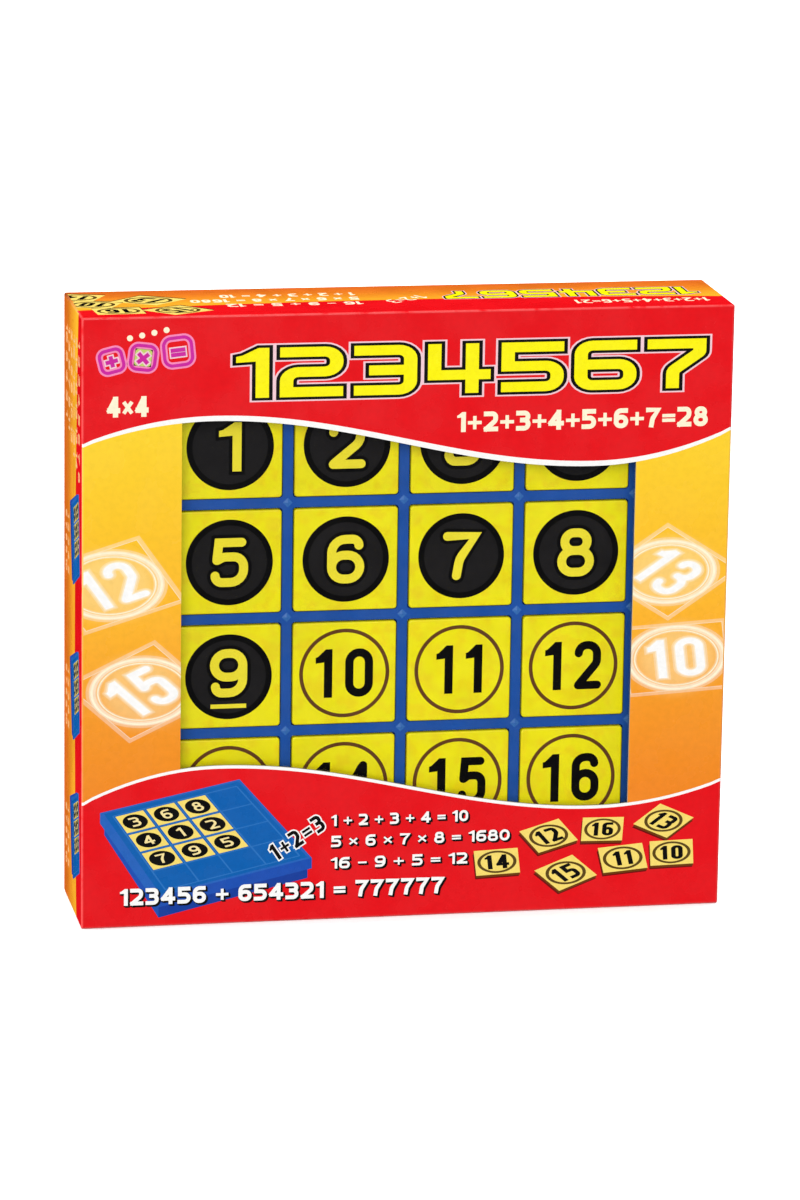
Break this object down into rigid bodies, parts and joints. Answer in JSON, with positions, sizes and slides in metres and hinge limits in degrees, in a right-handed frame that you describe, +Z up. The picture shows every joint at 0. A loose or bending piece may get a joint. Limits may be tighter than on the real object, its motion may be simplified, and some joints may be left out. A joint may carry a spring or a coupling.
{
  "type": "number tile puzzle in a window gift box",
  "caption": "Square grid board of lift-out number tiles on a storage box, packed in a printed lid-and-base gift box with a wavy clear window.",
  "frame": {"origin": "centre of the box's bottom face, on the surface it stands on", "axes": "+X to the right along the front panel, -Y out of the front panel, +Z up"},
  "size_m": [0.24, 0.05, 0.228],
  "materials": {
    "printed_card": "gloss laminated print: red banners round a yellow to orange field",
    "plain_card": "uncoated white-lined board",
    "clear_film": "clear glossy window film",
    "tray_plastic": "moulded blue plastic, satin",
    "tile_plastic": "moulded yellow plastic, printed number and ring or disc",
    "booklet_paper": "coated paper"
  },
  "bodies": {
    "base": {"base_tray": "plain_card", "insert_collar": "plain_card"},
    "lid": {"lid_shell": "printed_card", "window_film": "clear_film"},
    "storage": {"storage_box": "tray_plastic"},
    "board": {"grid_board": "tray_plastic"},
    "booklet": {"puzzle_booklet": "booklet_paper"},
    "tile_01": {"tile_01": "tile_plastic"},
    "tile_02": {"tile_02": "tile_plastic"},
    "tile_03": {"tile_03": "tile_plastic"},
    "tile_04": {"tile_04": "tile_plastic"},
    "tile_05": {"tile_05": "tile_plastic"},
    "tile_06": {"tile_06": "tile_plastic"},
    "tile_07": {"tile_07": "tile_plastic"},
    "tile_08": {"tile_08": "tile_plastic"},
    "tile_09": {"tile_09": "tile_plastic"},
    "tile_10": {"tile_10": "tile_plastic"},
    "tile_11": {"tile_11": "tile_plastic"},
    "tile_12": {"tile_12": "tile_plastic"},
    "tile_13": {"tile_13": "tile_plastic"},
    "tile_14": {"tile_14": "tile_plastic"},
    "tile_15": {"tile_15": "tile_plastic"},
    "tile_16": {"tile_16": "tile_plastic"}
  },
  "joints": [
    {"name": "lid_lift", "type": "slide", "parent": "base", "child": "lid", "axis": [0, -1, 0], "range_m": [0, 0.16]},
    {"name": "puzzle_lift", "type": "slide", "parent": "base", "child": "storage", "axis": [0, -1, 0], "range_m": [0, 0.08]},
    {"name": "board_lift", "type": "slide", "parent": "storage", "child": "board", "axis": [0, -1, 0], "range_m": [0, 0.04]},
    {"name": "booklet_lift", "type": "slide", "parent": "storage", "child": "booklet", "axis": [0, -1, 0], "range_m": [0, 0.032]},
    {"name": "tile_01_lift", "type": "slide", "parent": "board", "child": "tile_01", "axis": [0, -1, 0], "range_m": [0, 0.007]},
    {"name": "tile_02_lift", "type": "slide", "parent": "board", "child": "tile_02", "axis": [0, -1, 0], "range_m": [0, 0.007]},
    {"name": "tile_03_lift", "type": "slide", "parent": "board", "child": "tile_03", "axis": [0, -1, 0], "range_m": [0, 0.007]},
    {"name": "tile_04_lift", "type": "slide", "parent": "board", "child": "tile_04", "axis": [0, -1, 0], "range_m": [0, 0.007]},
    {"name": "tile_05_lift", "type": "slide", "parent": "board", "child": "tile_05", "axis": [0, -1, 0], "range_m": [0, 0.007]},
    {"name": "tile_06_lift", "type": "slide", "parent": "board", "child": "tile_06", "axis": [0, -1, 0], "range_m": [0, 0.007]},
    {"name": "tile_07_lift", "type": "slide", "parent": "board", "child": "tile_07", "axis": [0, -1, 0], "range_m": [0, 0.007]},
    {"name": "tile_08_lift", "type": "slide", "parent": "board", "child": "tile_08", "axis": [0, -1, 0], "range_m": [0, 0.007]},
    {"name": "tile_09_lift", "type": "slide", "parent": "board", "child": "tile_09", "axis": [0, -1, 0], "range_m": [0, 0.007]},
    {"name": "tile_10_lift", "type": "slide", "parent": "board", "child": "tile_10", "axis": [0, -1, 0], "range_m": [0, 0.007]},
    {"name": "tile_11_lift", "type": "slide", "parent": "board", "child": "tile_11", "axis": [0, -1, 0], "range_m": [0, 0.007]},
    {"name": "tile_12_lift", "type": "slide", "parent": "board", "child": "tile_12", "axis": [0, -1, 0], "range_m": [0, 0.007]},
    {"name": "tile_13_lift", "type": "slide", "parent": "board", "child": "tile_13", "axis": [0, -1, 0], "range_m": [0, 0.007]},
    {"name": "tile_14_lift", "type": "slide", "parent": "board", "child": "tile_14", "axis": [0, -1, 0], "range_m": [0, 0.007]},
    {"name": "tile_15_lift", "type": "slide", "parent": "board", "child": "tile_15", "axis": [0, -1, 0], "range_m": [0, 0.007]},
    {"name": "tile_16_lift", "type": "slide", "parent": "board", "child": "tile_16", "axis": [0, -1, 0], "range_m": [0, 0.007]}
  ],
  "couplings": [
    {"joint": "puzzle_lift", "follows": "lid_lift", "ratio": 0.5},
    {"joint": "board_lift", "follows": "lid_lift", "ratio": 0.25},
    {"joint": "booklet_lift", "follows": "lid_lift", "ratio": 0.2}
  ]
}
